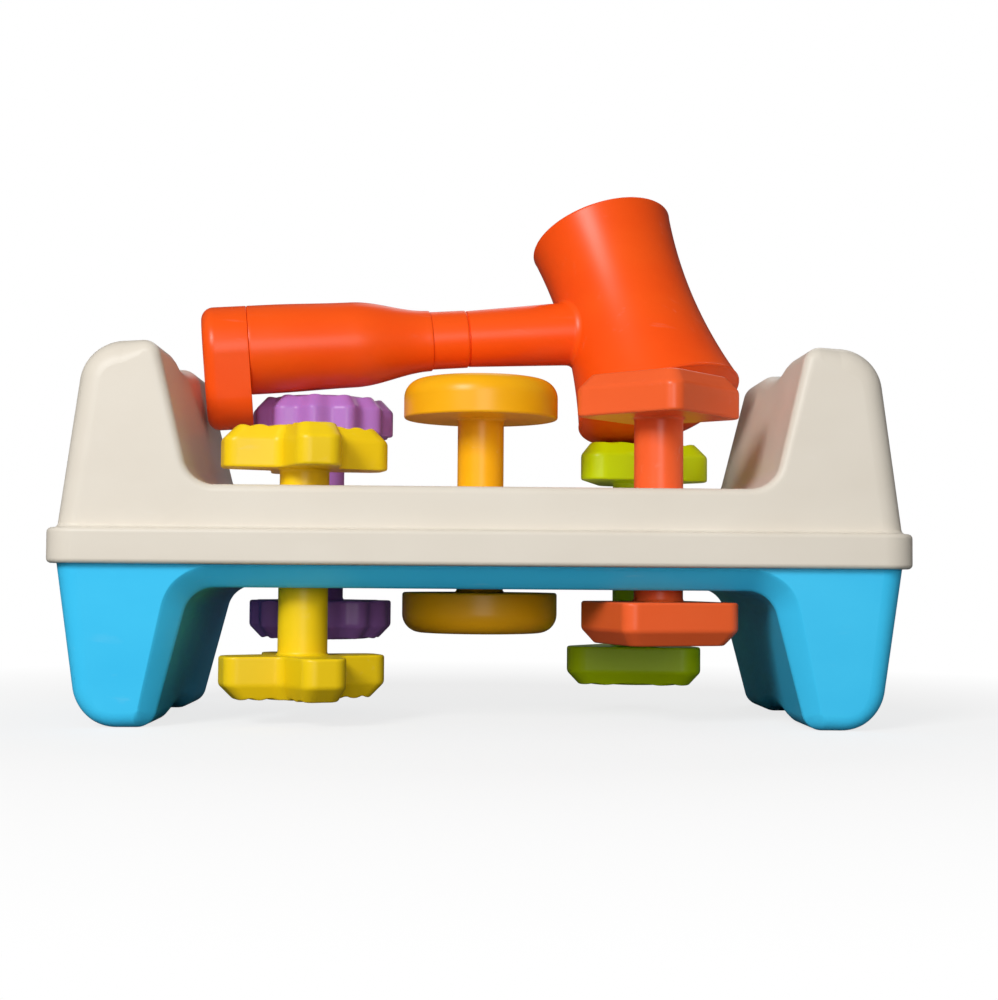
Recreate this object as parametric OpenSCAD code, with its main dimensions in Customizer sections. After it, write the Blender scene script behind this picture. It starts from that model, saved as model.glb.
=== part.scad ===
// Toy pounding bench: a hollow moulded bench, five double-headed pegs and a hammer.
// Millimetres. The origin is on the floor, midway between the feet; -Y is the front.

/* [Bench] */
// Length over the lip
bench_length = 306; // [290:1:330]
// Depth over the lip
bench_depth = 136; // [134:1:150]
// Height from the feet to the tops of the end walls
bench_height = 136.5; // [133:0.5:144]
// Height of the deck's top face
deck_height = 85.2; // [83.2:0.2:90]
// Height of the arch's underside
arch_height = 49.1; // [46.1:0.2:52]
// Wall thickness of both shells
shell_wall = 2.6; // [2:0.1:3.2]
// How far the lip stands out from the walls
lip_proud = 3.6; // [2.8:0.1:5]
// Height of the lip's lower edge above the arch's underside
lip_rise = 8.1; // [6.1:0.1:9.1]
// Height of the lip
lip_width = 12.5; // [10:0.5:14]
// How far the lower shell's rim reaches up inside the lip
lip_lap = 6; // [4:0.5:8]

/* [End walls] */
// Thickness of an end wall across its flat top, corners included
wall_top_width = 26.1; // [24:0.1:29]
// How far the outer face of an end wall leans in
wall_lean = 8; // [4:0.2:10]
// How far the inner face of an end wall leans out
inner_lean = 12.6; // [9:0.1:13.5]
// How far the front and back faces lean in
side_draft = 3.2; // [1:0.1:5]
// Radius of an end wall's outer top corner
wall_corner_r = 16; // [12:0.5:17]
// Radius of an end wall's inner top edge
wall_edge_r = 7; // [3:0.5:8]
// Fillet between an end wall and the deck
deck_fillet_r = 11; // [8:0.5:12]
// Radius of an end wall's corners seen from the side
side_corner_r = 10; // [8:0.5:16]
// Radius of the bench's corners seen from above
plan_corner_r = 8; // [6:0.5:14]
// Depth of the shallow hollow in each end wall's top
saddle_depth = 3.4; // [2:0.1:4.5]
// Half width of that hollow
saddle_half = 25; // [18:0.5:28]

/* [Pegs] */
// Distance of the outer pegs from the middle, across the bench
peg_y = 39; // [34:0.5:41]
// Place of the outer pegs between the middle peg and the end wall
peg_spread_share = 0.705; // [0.5:0.005:0.9]
// Diameter of a peg's shaft
shaft_d = 18; // [15:0.5:19]
// Reach of a head from the peg's axis
head_reach = 30; // [27:0.2:31]
// Thickness of a head
head_thickness = 15.5; // [13:0.5:16.5]
// Slope along a head's outer rim
head_chamfer = 5.3; // [3:0.1:6]
// Rounding along a disc head's outer rim
disc_round = 7.2; // [4:0.1:8]
// Space left under a peg that is driven right down
floor_clearance = 2.65; // [1:0.05:4]

/* [Hammer] */
// Distance along the bench from the peg under the hammer's head to that head
hammer_shift_x = 1; // [0:0.1:6]
// Distance across the bench from that peg to the head
hammer_shift_y = 1; // [0:0.1:4]
// Direction of the handle, turned from the bench's length
hammer_turn = 7; // [3:0.5:9]
// How far the hammer's head leans back
hammer_roll = 21; // [10:0.5:22]
// Rake of the head against the handle
hammer_rake = 8.5; // [0:0.5:9]
// Radius of the striking end's rim
strike_rim_r = 34.3; // [32:0.1:36]
// Radius of the head's waist
waist_r = 27.8; // [25:0.1:29]
// Radius of the other end's rim
crown_rim_r = 30.2; // [28.5:0.1:32]
// Distance from the handle's axis to the striking end's rim
strike_reach = 36.5; // [34:0.5:39]
// Distance from the handle's axis to the other end's rim
crown_reach = 46.3; // [42:0.1:49]
// Height of the dome on the striking end
strike_dome = 8.8; // [8.5:0.1:10]
// Height of the dome on the other end
crown_dome = 5; // [3:0.5:7]
// Radius of the neck where it meets the grip's collar
neck_r = 11.4; // [10:0.1:12]
// Radius of the neck where it meets the head
neck_root_r = 14; // [12:0.1:15]
// Radius of the grip's belly
grip_r = 17.2; // [16:0.1:18]
// Radius of the grip where it lies on the peg
grip_seat_r = 17.8; // [16.5:0.1:18.2]

/* [Hidden] */
$fn = 96;

// Overrun of every cut, and the clearances
overrun = 1;
running_fit = 0.06;
guide_gap = 0.3;
stop_gap = 0.25;
seat_gap = 0.3;
seam_gap = 0.2;

// Half sizes of the walls, inside the lip
half_length = bench_length / 2 - lip_proud;
half_depth = bench_depth / 2 - lip_proud;
deck_half = half_length - wall_lean - wall_top_width - inner_lean;

// Heights of the lip and of the seam inside it
lip_bottom = arch_height + lip_rise;
lip_top = lip_bottom + lip_width;
seam_height = lip_bottom + lip_lap;

// A peg's travel between its stops, and the length between its heads
peg_travel = arch_height - head_thickness - floor_clearance - stop_gap;
inner_length = deck_height - arch_height + peg_travel + 2 * stop_gap;
shaft_r = shaft_d / 2;

// The outer pegs stand between the place where they would touch the middle peg's head
// and the place where they would touch the end wall
near_x = sqrt(4 * head_reach * head_reach - peg_y * peg_y);
far_x = deck_half - head_reach;
peg_x = near_x + peg_spread_share * (far_x - near_x);

// How high each peg stands at rest, as a share of its travel
star_rise_share = 0.212;
flower_rise_share = 0.824;
disc_rise_share = 0.953;
square_rise_share = 0.87;
triangle_rise_share = 0.244;

// Each peg: shape, place, rise, turns of its upper and lower heads in degrees, colour
star = ["star", [-peg_x, -peg_y], star_rise_share, [-74, -68], "#fad414"];
flower = ["flower", [-peg_x, peg_y], flower_rise_share, [-63.4, -50], "#be7dcd"];
disc = ["disc", [0, 0], disc_rise_share, [0, 0], "#fdb914"];
square = ["square", [peg_x, -peg_y], square_rise_share, [-86, -117], "#fa5528"];
triangle = ["triangle", [peg_x, peg_y], triangle_rise_share, [-15, 82], "#cdd700"];
pegs = [star, flower, disc, square, triangle];
peg_places = [for (p = pegs) p[1]];

// Guide sleeves, and the friction ring trapped between their ends
sleeve_wall = 3;
sleeve_r = shaft_r + guide_gap + sleeve_wall;
ring_r = sleeve_r + seam_gap;
ring_thickness = 5;
cup_wall = 2.4;
cup_r = ring_r + seam_gap + cup_wall;
cup_overlap = 3;
ring_middle = (deck_height + arch_height) / 2;
ring_seat = ring_middle - ring_thickness / 2;
ring_top = ring_middle + ring_thickness / 2;

// Six screws join the shells from below
screw_spread_share = 0.464;
screw_shift_y = 6;
screw_wall_gap = 14.7;
screw_x_in = screw_spread_share * peg_x;
screw_y_in = peg_y + screw_shift_y;
screw_x_out = deck_half - screw_wall_gap;
screw_places = [[screw_x_in, screw_y_in], [-screw_x_in, screw_y_in], [screw_x_in, -screw_y_in],
    [-screw_x_in, -screw_y_in], [screw_x_out, 0], [-screw_x_out, 0]];
screw_shank_r = 1.75;
screw_head_r = 3.5;
screw_head_h = 2.2;
screw_slot_length = 4.2;
screw_slot_width = 1;
screw_slot_depth = 1.1;
screw_recess = 7;
screw_bite = 10;
boss_wall = 3.2;
screw_seat = arch_height + screw_recess;

// The snap pin on which a peg's two halves turn
pin_r = 3.5;
pin_head_r = 4.9;
pin_tip_r = 3;
pin_reach = 18;
pin_head_h = 4;
pin_chamber_h = 5;
halves_gap = 0.2;

// The ridged heads
star_arm_share = 0.25;
star_valley_share = 0.35;
star_tip_r = 5;
star_valley_r = 4;
square_tip_r = 5;
triangle_tip_r = 8;
lobe_height = 2.9;
flower_share = 0.967;
edge_ease = 0.8;
arc_steps = 6;

// The hammer, along its handle from the middle of its head
barrel_wall = 2.8;
rim_ease = 1.2;
waist_share = 0.38;
neck_end = 70.5;
collar_length = 14.5;
collar_r = 11.7;
groove_width = 0.9;
groove_depth = 0.7;
grip_start = neck_end + collar_length;
grip_collar_r = 12.3;
belly_length = 32;
cap_length = 18;
heel_r = 14.5;
heel_drop = 17;
cap_round = 5;
core_r = 8;
core_inset = 12;
tenon_end = 8;
plug_depth = 7;
face_plug_depth = 6;
profile_steps = 14;

// Where the hammer lies: its striking dome on the triangle's head, its grip on the flower's
hammer_x = peg_x - hammer_shift_x;
hammer_y = peg_y - hammer_shift_y;
flower_top = peg_height(flower_rise_share) + head_thickness;
triangle_top = peg_height(triangle_rise_share) + head_thickness;
flat_reach = head_reach * flower_share - lobe_height - head_chamfer;
grip_seat = (hammer_x + peg_x + flat_reach) / cos(hammer_turn);
grip_end = grip_seat + head_chamfer + lobe_height;
dome_r = (strike_rim_r * strike_rim_r + strike_dome * strike_dome) / (2 * strike_dome);
dome_back = dome_r - strike_reach - strike_dome;
// The lift angle solves: lift_p * cos(lift) + lift_q * sin(lift) = lift_w
lift_p = dome_back * cos(hammer_rake) * cos(hammer_roll) + grip_seat_r;
lift_q = grip_seat - dome_back * sin(hammer_rake);
lift_w = triangle_top + dome_r - flower_top;
hammer_lift = atan2(lift_q, lift_p) - acos(lift_w / norm([lift_p, lift_q]));
axis_up = cos(hammer_rake) * cos(hammer_roll) * cos(hammer_lift)
    - sin(hammer_rake) * sin(hammer_lift);
hammer_z = triangle_top + seat_gap + dome_r - dome_back * axis_up;

// Height of the upper head's underside for a share of the travel
function peg_height(share) = deck_height + stop_gap + share * peg_travel;

// Smooth step from a to b as t runs from 0 to 1
function ease(a, b, t) = a + (b - a) * (1 - cos(180 * t)) / 2;

function unit(v) = v / norm(v);

// Arc of radius r that rounds the corner p between the points a and b
function corner(a, p, b, r) =
    let (u = unit(a - p),
        v = unit(b - p),
        half = acos(u * v) / 2,
        centre = p + unit(u + v) * r / sin(half),
        first = p + u * r / tan(half) - centre,
        last = p + v * r / tan(half) - centre,
        start = atan2(first[1], first[0]),
        sweep = atan2(first[0] * last[1] - first[1] * last[0], first * last))
    [for (k = [0:arc_steps])
        centre + r * [cos(start + sweep * k / arc_steps), sin(start + sweep * k / arc_steps)]];

// Outline through corners given as [x, y, radius]; radius 0 keeps a corner sharp
function rounded(c) =
    [for (i = [0:len(c) - 1])
        let (n = len(c),
            a = c[(i + n - 1) % n],
            p = c[i],
            b = c[(i + 1) % n])
        each p[2] > 0
            ? corner([a[0], a[1]], [p[0], p[1]], [b[0], b[1]], p[2])
            : [[p[0], p[1]]]];

// Half of the front outline, moved inwards by t, then both halves as one outline.
// The faces stand upright from the base to the knee and lean in above it.
function front_half(deck, base, knee, t) =
    let (top_out = half_length - wall_lean,
        top_in = top_out - wall_top_width)
    [[half_length - t, base, 0],
        [half_length - t, knee, 0],
        [top_out - t, bench_height - t, wall_corner_r - t],
        [top_in + t, bench_height - t, max(wall_edge_r - t, edge_ease / 2)],
        [top_in - inner_lean + t, deck - t, deck_fillet_r + t]];
function flipped(c) = [for (i = [len(c) - 1:-1:0]) [-c[i][0], c[i][1], c[i][2]]];
function front_outline(deck, base, knee, t) =
    rounded(concat(front_half(deck, base, knee, t), flipped(front_half(deck, base, knee, t))));

function side_half(base, knee, t) =
    [[half_depth - t, base, 0],
        [half_depth - t, knee, 0],
        [half_depth - side_draft - t, bench_height - t, side_corner_r - t]];
function side_outline(base, knee, t) =
    rounded(concat(side_half(base, knee, t), flipped(side_half(base, knee, t))));

// Outline seen from above, moved inwards by t
function plan_outline(t) =
    let (x = half_length - t,
        y = half_depth - t,
        r = plan_corner_r - t)
    rounded([[x, -y, r], [x, y, r], [-x, y, r], [-x, -y, r]]);

saddle_r = (saddle_half * saddle_half + saddle_depth * saddle_depth) / (2 * saddle_depth);

// Upper half of the bench as a solid, its faces moved inwards by t; open side at the base
module bench_half(deck, base, knee, t) {
    difference() {
        intersection() {
            rotate([90, 0, 0])
                linear_extrude(2 * bench_depth, center = true)
                    polygon(front_outline(deck, base, knee, t));
            rotate([90, 0, 90])
                linear_extrude(2 * bench_length, center = true)
                    polygon(side_outline(base, knee, t));
            translate([0, 0, base])
                linear_extrude(bench_height)
                    polygon(plan_outline(t));
        }
        translate([0, 0, bench_height - saddle_depth + saddle_r])
            rotate([0, 90, 0])
                cylinder(h = 2 * bench_length, r = saddle_r + t, center = true);
    }
}

module at_each(places) {
    for (p = places)
        translate([p[0], p[1], 0])
            children();
}

// A cylinder from one height to another
module column(r, from, to) {
    translate([0, 0, from])
        cylinder(h = to - from, r = r);
}

module upper_shell() {
    color("#e9e0d3")
    difference() {
        union() {
            difference() {
                union() {
                    bench_half(deck_height, lip_bottom, lip_top, 0);
                    translate([0, 0, lip_bottom])
                        linear_extrude(lip_top - lip_bottom)
                            polygon(plan_outline(-lip_proud));
                }
                bench_half(deck_height, lip_bottom - overrun, lip_top, shell_wall);
                translate([0, 0, lip_bottom - overrun])
                    linear_extrude(seam_height + seam_gap - lip_bottom + overrun)
                        polygon(plan_outline(-seam_gap));
            }
            at_each(peg_places)
                column(sleeve_r, ring_top + seam_gap, deck_height - shell_wall / 2);
            at_each(screw_places)
                column(screw_shank_r + boss_wall, ring_middle + seam_gap, deck_height - shell_wall / 2);
        }
        at_each(peg_places)
            column(shaft_r + guide_gap, ring_top, deck_height + overrun);
        at_each(screw_places)
            column(screw_shank_r + running_fit, ring_middle - overrun, ring_middle + screw_bite + overrun);
    }
}

module lower_shell() {
    flipped_deck = bench_height - arch_height;
    flipped_seam = bench_height - seam_height;
    knee = bench_height - lip_bottom;
    color("#44c0f0")
    difference() {
        union() {
            translate([0, 0, bench_height])
                mirror([0, 0, 1])
                    difference() {
                        bench_half(flipped_deck, flipped_seam, knee, 0);
                        bench_half(flipped_deck, flipped_seam - overrun, knee, shell_wall);
                    }
            at_each(peg_places)
                column(cup_r, arch_height + shell_wall / 2, ring_top + cup_overlap);
            at_each(screw_places)
                column(screw_head_r + boss_wall, arch_height + shell_wall / 2, ring_middle);
        }
        at_each(peg_places) {
            column(shaft_r + guide_gap, arch_height - overrun, ring_top);
            column(ring_r + seam_gap, ring_seat, ring_top + cup_overlap + overrun);
        }
        at_each(screw_places) {
            column(screw_head_r + seam_gap, arch_height - overrun, screw_seat);
            column(screw_shank_r + seam_gap, arch_height, ring_middle + overrun);
        }
    }
}

module shell_screws() {
    color("#b9bcc0")
    at_each(screw_places)
        difference() {
            union() {
                column(screw_head_r, screw_seat - screw_head_h, screw_seat);
                column(screw_shank_r, screw_seat - screw_head_h / 2, ring_middle + screw_bite);
            }
            for (turn = [0, 90])
                rotate([0, 0, turn])
                    translate([0, 0, screw_seat - screw_head_h])
                        cube([screw_slot_length, screw_slot_width, 2 * screw_slot_depth], center = true);
        }
}

// Outlines of the heads, each reaching head_reach from the axis
function star_outline() =
    let (w = head_reach * star_arm_share,
        v = head_reach * star_valley_share,
        arm = [[head_reach, -w, star_tip_r], [head_reach, w, star_tip_r], [v, v, star_valley_r]])
    rounded([for (a = [0:90:270]) for (p = arm)
        [p[0] * cos(a) - p[1] * sin(a), p[0] * sin(a) + p[1] * cos(a), p[2]]]);
function square_outline() =
    let (r = head_reach + square_tip_r * (1 / sin(45) - 1))
    rounded([for (k = [0:3]) [r * cos(90 * k), r * sin(90 * k), square_tip_r]]);
function triangle_outline() =
    let (r = head_reach + triangle_tip_r)
    rounded([for (k = [0:2]) [r * cos(120 * k), r * sin(120 * k), triangle_tip_r]]);
function flower_outline() =
    [for (k = [0:71])
        let (r = head_reach * flower_share - lobe_height * (1 - cos(30 * k)) / 2)
        [r * cos(5 * k), r * sin(5 * k)]];

// Solid through rings of points, one ring at each height
module stacked(rings, heights) {
    n = len(rings[0]);
    m = len(heights);
    polyhedron(
        points = [for (j = [0:m - 1]) for (p = rings[j]) [p[0], p[1], heights[j]]],
        faces = concat(
            [[for (i = [0:n - 1]) i]],
            [for (j = [0:m - 2]) for (i = [0:n - 1])
                [j * n + i, (j + 1) * n + i, (j + 1) * n + (i + 1) % n, j * n + (i + 1) % n]],
            [[for (i = [n - 1:-1:0]) (m - 1) * n + i]]));
}

// A head on the plane z = 0, its chamfered face upwards
module shaped_head(outline) {
    scales = [1 - edge_ease / head_reach, 1, 1, 1 - head_chamfer / head_reach];
    stacked([for (s = scales) outline * s],
        [0, edge_ease, head_thickness - head_chamfer, head_thickness]);
}

module disc_head() {
    inner = head_reach - disc_round;
    rotate_extrude()
        polygon(concat(
            [[0, 0], [head_reach - edge_ease, 0], [head_reach, edge_ease]],
            [for (a = [0:7.5:90])
                [inner + disc_round * cos(a), head_thickness - disc_round + disc_round * sin(a)]],
            [[0, head_thickness]]));
}

module head(shape) {
    if (shape == "star") shaped_head(star_outline());
    if (shape == "flower") shaped_head(flower_outline());
    if (shape == "square") shaped_head(square_outline());
    if (shape == "triangle") shaped_head(triangle_outline());
    if (shape == "disc") disc_head();
}

// One half of a peg above its parting plane: the shaft, the head and the bore for the pin
module peg_half(shape, turn) {
    half = inner_length / 2;
    difference() {
        union() {
            column(shaft_r, halves_gap / 2, half + edge_ease);
            translate([0, 0, half])
                rotate([0, 0, turn])
                    head(shape);
        }
        column(pin_r + running_fit, -overrun, pin_reach + overrun);
        column(pin_head_r + seam_gap, pin_reach, pin_reach + pin_chamber_h);
    }
}

// Moves to a peg's parting plane
module at_peg(peg) {
    translate([peg[1][0], peg[1][1], peg_height(peg[2]) - inner_length / 2])
        children();
}

module peg_top_half(peg) {
    color(peg[4])
        at_peg(peg)
            peg_half(peg[0], peg[3][0]);
}

// The lower half is the upper one turned over; seen from above its turn stays as given
module peg_bottom_half(peg) {
    color(peg[4])
        at_peg(peg)
            mirror([0, 0, 1])
                peg_half(peg[0], peg[3][1]);
}

module core_pin(peg) {
    color("#f2efe8")
        at_peg(peg) {
            column(pin_r, -pin_reach - seam_gap, pin_reach + seam_gap);
            for (side = [0, 1])
                mirror([0, 0, side])
                    translate([0, 0, pin_reach + seam_gap])
                        cylinder(h = pin_head_h, r1 = pin_head_r, r2 = pin_tip_r);
        }
}

module grip_ring(peg) {
    color("#3a3a3c")
        translate([peg[1][0], peg[1][1], 0])
            difference() {
                column(ring_r, ring_seat, ring_top);
                column(shaft_r + running_fit, ring_seat - overrun, ring_top + overrun);
            }
}

// Moves from the hammer's own frame, handle along -X and head along Z, to where it lies
module hammer_pose() {
    translate([hammer_x, hammer_y, hammer_z])
        rotate([0, 0, hammer_turn])
            rotate([0, -hammer_lift, 0])
                rotate([-hammer_roll, 0, 0])
                    children();
}

// From a lathe profile, radius against distance from the head, to the handle's axis
module along_handle() {
    rotate([0, -90, 0])
        children();
}

// Radius of the head at a height along its axis
function barrel_r(h) =
    let (waist = -strike_reach + (strike_reach + crown_reach) * (1 - waist_share),
        t = h < waist ? (waist - h) / (waist + strike_reach) : (h - waist) / (crown_reach - waist))
    waist_r + ((h < waist ? strike_rim_r : crown_rim_r) - waist_r) * t * t;

function barrel_line(inset) =
    [for (k = [0:profile_steps])
        let (h = -strike_reach + (strike_reach + crown_reach) * k / profile_steps)
        [barrel_r(h) - inset, h]];

// The neck's outline against distance from the head, grown by a clearance
function neck_line(grow) =
    [[neck_root_r + grow, 0], [neck_r + grow, neck_end - groove_width]];

module hammer_barrel() {
    color("#ff5514")
    hammer_pose()
        difference() {
            rotate([0, -hammer_rake, 0])
                rotate_extrude()
                    polygon(concat(barrel_line(0),
                        [for (k = [profile_steps:-1:0]) barrel_line(barrel_wall)[k]]));
            along_handle()
                rotate_extrude()
                    polygon(concat([[0, 0]], neck_line(running_fit), [[0, neck_end]]));
        }
}

// Points of a dome of the given rim and height, from the rim to the middle
function dome_line(rim, height) =
    let (r = (rim * rim + height * height) / (2 * height),
        reach = asin(rim / r))
    [for (k = [0:profile_steps])
        let (a = reach * (1 - k / profile_steps))
        [r * sin(a), r * cos(a) - r + height]];

// An end of the head: a dome on its rim with a plug inside the barrel's wall
module end_face(rim, wall_inset, height) {
    plug = rim - wall_inset;
    rotate_extrude()
        polygon(concat(
            [[0, -face_plug_depth], [plug, -face_plug_depth], [plug, 0]],
            dome_line(rim, height)));
}

module hammer_strike_face() {
    plug_gap = strike_rim_r - barrel_r(face_plug_depth - strike_reach) + barrel_wall + seam_gap;
    color("#ff5514")
    hammer_pose()
        rotate([0, -hammer_rake, 0])
            translate([0, 0, -strike_reach])
                mirror([0, 0, 1])
                    end_face(strike_rim_r, plug_gap, strike_dome);
}

module hammer_crown_face() {
    plug_gap = crown_rim_r - barrel_r(crown_reach - face_plug_depth) + barrel_wall + seam_gap;
    color("#ff5514")
    hammer_pose()
        rotate([0, -hammer_rake, 0])
            translate([0, 0, crown_reach])
                end_face(crown_rim_r, plug_gap, crown_dome);
}

module hammer_neck() {
    color("#ff5514")
    hammer_pose()
        along_handle()
            rotate_extrude()
                polygon([[0, tenon_end],
                    [neck_root_r - rim_ease, tenon_end],
                    [neck_root_r - (neck_root_r - neck_r) * tenon_end / neck_end, tenon_end + rim_ease],
                    [neck_r, neck_end - groove_width],
                    [neck_r - groove_depth, neck_end - groove_width / 2],
                    [collar_r, neck_end],
                    [collar_r, grip_start],
                    [core_r, grip_start],
                    [core_r, grip_end - core_inset],
                    [0, grip_end - core_inset]]);
}

// Radius of the grip at a distance from the head
function grip_radius(s) =
    s < grip_start + belly_length
        ? ease(grip_collar_r, grip_r, (s - grip_start) / belly_length)
        : ease(grip_r, grip_seat_r, min(1, (s - grip_start - belly_length)
            / (grip_seat - grip_start - belly_length)));

module hammer_grip() {
    steps = 2 * profile_steps;
    color("#ff5514")
    hammer_pose()
        along_handle()
            rotate_extrude()
                polygon(concat(
                    [[core_r + running_fit, grip_end], [core_r + running_fit, grip_start]],
                    [for (k = [0:steps])
                        let (s = grip_start + (grip_end - grip_start) * k / steps)
                        [grip_radius(s), s]]));
}

// Outline of the butt: the grip's circle above a smaller one, joined by their tangents
function butt_outline(inset) =
    let (r1 = grip_seat_r - inset,
        r2 = heel_r - inset,
        slope = asin((r1 - r2) / heel_drop))
    concat(
        [for (k = [0:24])
            let (a = -slope + (180 + 2 * slope) * k / 24)
            [r1 * cos(a), r1 * sin(a)]],
        [for (k = [0:20])
            let (a = 180 + slope + (180 - 2 * slope) * k / 20)
            [r2 * cos(a), -heel_drop + r2 * sin(a)]]);

module hammer_butt_cap() {
    turns = [0:15:90];
    rings = [for (a = turns) butt_outline(cap_round * (1 - cos(a)))];
    depths = [for (a = turns) cap_length - cap_round + cap_round * sin(a)];
    color("#ff5514")
    hammer_pose()
        translate([-grip_end, 0, 0])
            rotate([hammer_roll, 0, 0])
                union() {
                    rotate([90, 0, -90])
                        stacked(concat([butt_outline(0)], rings), concat([0], depths));
                    rotate([0, 90, 0])
                        column(core_r, -shell_wall, plug_depth);
                }
}

upper_shell();
lower_shell();
shell_screws();
peg_top_half(star);  // star_top_half
peg_bottom_half(star);  // star_bottom_half
core_pin(star);  // star_core_pin
grip_ring(star);  // star_grip_ring
peg_top_half(flower);  // flower_top_half
peg_bottom_half(flower);  // flower_bottom_half
core_pin(flower);  // flower_core_pin
grip_ring(flower);  // flower_grip_ring
peg_top_half(disc);  // disc_top_half
peg_bottom_half(disc);  // disc_bottom_half
core_pin(disc);  // disc_core_pin
grip_ring(disc);  // disc_grip_ring
peg_top_half(square);  // square_top_half
peg_bottom_half(square);  // square_bottom_half
core_pin(square);  // square_core_pin
grip_ring(square);  // square_grip_ring
peg_top_half(triangle);  // triangle_top_half
peg_bottom_half(triangle);  // triangle_bottom_half
core_pin(triangle);  // triangle_core_pin
grip_ring(triangle);  // triangle_grip_ring
hammer_barrel();
hammer_strike_face();
hammer_crown_face();
hammer_neck();
hammer_grip();
hammer_butt_cap();
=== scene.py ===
import math

import bmesh
import bpy
import numpy as np
from mathutils import Matrix, Vector
from mathutils.geometry import delaunay_2d_cdt


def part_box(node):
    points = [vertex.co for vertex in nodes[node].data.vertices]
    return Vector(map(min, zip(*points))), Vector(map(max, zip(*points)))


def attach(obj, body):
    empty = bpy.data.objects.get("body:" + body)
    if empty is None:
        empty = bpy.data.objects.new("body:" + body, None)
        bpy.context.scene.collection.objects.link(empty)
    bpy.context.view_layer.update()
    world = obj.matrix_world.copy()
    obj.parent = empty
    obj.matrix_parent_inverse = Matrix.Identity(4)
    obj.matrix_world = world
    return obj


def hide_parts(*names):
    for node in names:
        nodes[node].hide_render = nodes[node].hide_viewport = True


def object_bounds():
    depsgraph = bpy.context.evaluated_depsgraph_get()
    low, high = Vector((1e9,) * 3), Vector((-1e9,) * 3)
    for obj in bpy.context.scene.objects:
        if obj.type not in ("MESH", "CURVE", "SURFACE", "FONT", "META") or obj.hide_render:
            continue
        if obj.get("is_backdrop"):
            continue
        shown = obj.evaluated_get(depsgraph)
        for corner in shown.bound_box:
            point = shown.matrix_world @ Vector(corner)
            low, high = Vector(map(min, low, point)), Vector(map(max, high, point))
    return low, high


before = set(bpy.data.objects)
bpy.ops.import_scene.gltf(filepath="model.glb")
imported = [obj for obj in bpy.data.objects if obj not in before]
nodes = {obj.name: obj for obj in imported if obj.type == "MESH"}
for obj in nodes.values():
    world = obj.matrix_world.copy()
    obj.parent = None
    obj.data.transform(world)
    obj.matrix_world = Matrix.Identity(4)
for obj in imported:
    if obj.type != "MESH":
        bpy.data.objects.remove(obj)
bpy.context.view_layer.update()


# Upper shell: the cream top half of the bench, one injection moulding with a deck between two
# end walls and a lip round its lower edge. It is hollow, with five guide sleeves and six screw
# bosses under the deck, and it is screwed to the lower shell from below.

MM = 0.001  # metres in a millimetre: sizes and grids below are in millimetres
bench_low, bench_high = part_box("upper_shell")
lip_bottom = bench_low.z / MM
lip_width = 12.5
lip_proud = 3.6
lip_round = 1.7
lip_blend = 1.6
lip_blend_sink = 0.2
lip_root = -1
lip_blend_start = 4  # degrees short of level at which the blend leaves the wall
lip_lap = 6
seam_height = lip_bottom + lip_lap
seam_gap = 0.2
half_length = bench_high.x / MM - lip_proud
half_depth = bench_high.y / MM - lip_proud
top_height = bench_high.z / MM
deck_height = 85.2
arch_height = 49.1
shell_wall = 2.6
wall_top_width = 26.1
wall_lean = 8
inner_lean = 12.6
side_draft = 3.2
outer_corner_r = 16
inner_corner_r = 7
deck_fillet_r = 11
plan_corner_r = 8
saddle_depth = 3.4
saddle_half = 25
saddle_ease = 0.3
saddle_start = 22
saddle_blend = 18
edge_radii = (2.6, 3.6, 9)
edge_ease = 12
corner_ease = 6
bevel_ease = 6
least_edge = 0.4
arc_steps = 20
edge_steps = 8
skin_step = 4
plan_step = 6
face_shares = np.concatenate([[0.985], np.linspace(0.96, 0.5, 6), np.linspace(0.4, 0, 4)])
guard = 0.35
overrun = 1
bore_r = 9.3
bore_ease = 0.7
sleeve_r = 12.3
boss_r = 4.95
bore_steps = 96
sleeve_steps = 64
boss_steps = 32
ring_middle = (deck_height + arch_height) / 2
ring_half = 2.5


def rounded(corners, steps=10, closed=True):
    """Points through corners given as rows of x, y and radius: each corner becomes an arc that
    touches both of its sides. The arc's centre lies on the corner's bisector at r / sin(half)."""
    corners = np.asarray(corners, float)
    before, after = np.roll(corners, 1, 0), np.roll(corners, -1, 0)
    found = []
    for i, (a, p, b) in enumerate(zip(before, corners, after)):
        open_end = not closed and i in (0, len(corners) - 1)
        if open_end or p[2] <= 0:
            found.append(p[None, :2])
            continue
        u = (a - p)[:2] / np.linalg.norm((a - p)[:2])
        v = (b - p)[:2] / np.linalg.norm((b - p)[:2])
        half = math.acos(np.clip(u @ v, -1, 1)) / 2
        bisector = (u + v) / np.linalg.norm(u + v)
        centre = p[:2] + bisector * p[2] / math.sin(half)
        first = p[:2] + u * p[2] / math.tan(half) - centre
        last = p[:2] + v * p[2] / math.tan(half) - centre
        sweep = math.atan2(first[0] * last[1] - first[1] * last[0], first @ last)
        angle = math.atan2(first[1], first[0]) + sweep * np.linspace(0, 1, steps + 1)
        found.append(centre + p[2] * np.column_stack([np.cos(angle), np.sin(angle)]))
    return np.concatenate(found)


def dense(path, step, closed=True):
    """The same polyline with more points: one every step along it, and a guard point just inside
    both ends of each long side, so that smooth shading stays within the roundings."""
    if closed:
        path = np.concatenate([path, path[:1]])
    side = np.linalg.norm(np.diff(path, axis=0), axis=1)
    run = np.concatenate([[0], np.cumsum(side)])
    long_side = side > 4 * guard
    extra = np.arange(step, run[-1], step)
    clear = np.abs(extra[:, None] - run[None, :]).min(axis=1) > 1.5 * guard
    stations = np.unique(np.concatenate([
        run, extra[clear], run[:-1][long_side] + guard, run[1:][long_side] - guard]))
    stations = stations[np.concatenate([[True], np.diff(stations) > 1e-6])]
    if closed:
        stations = stations[:-1]
    return np.column_stack([np.interp(stations, run, path[:, k]) for k in (0, 1)])


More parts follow.
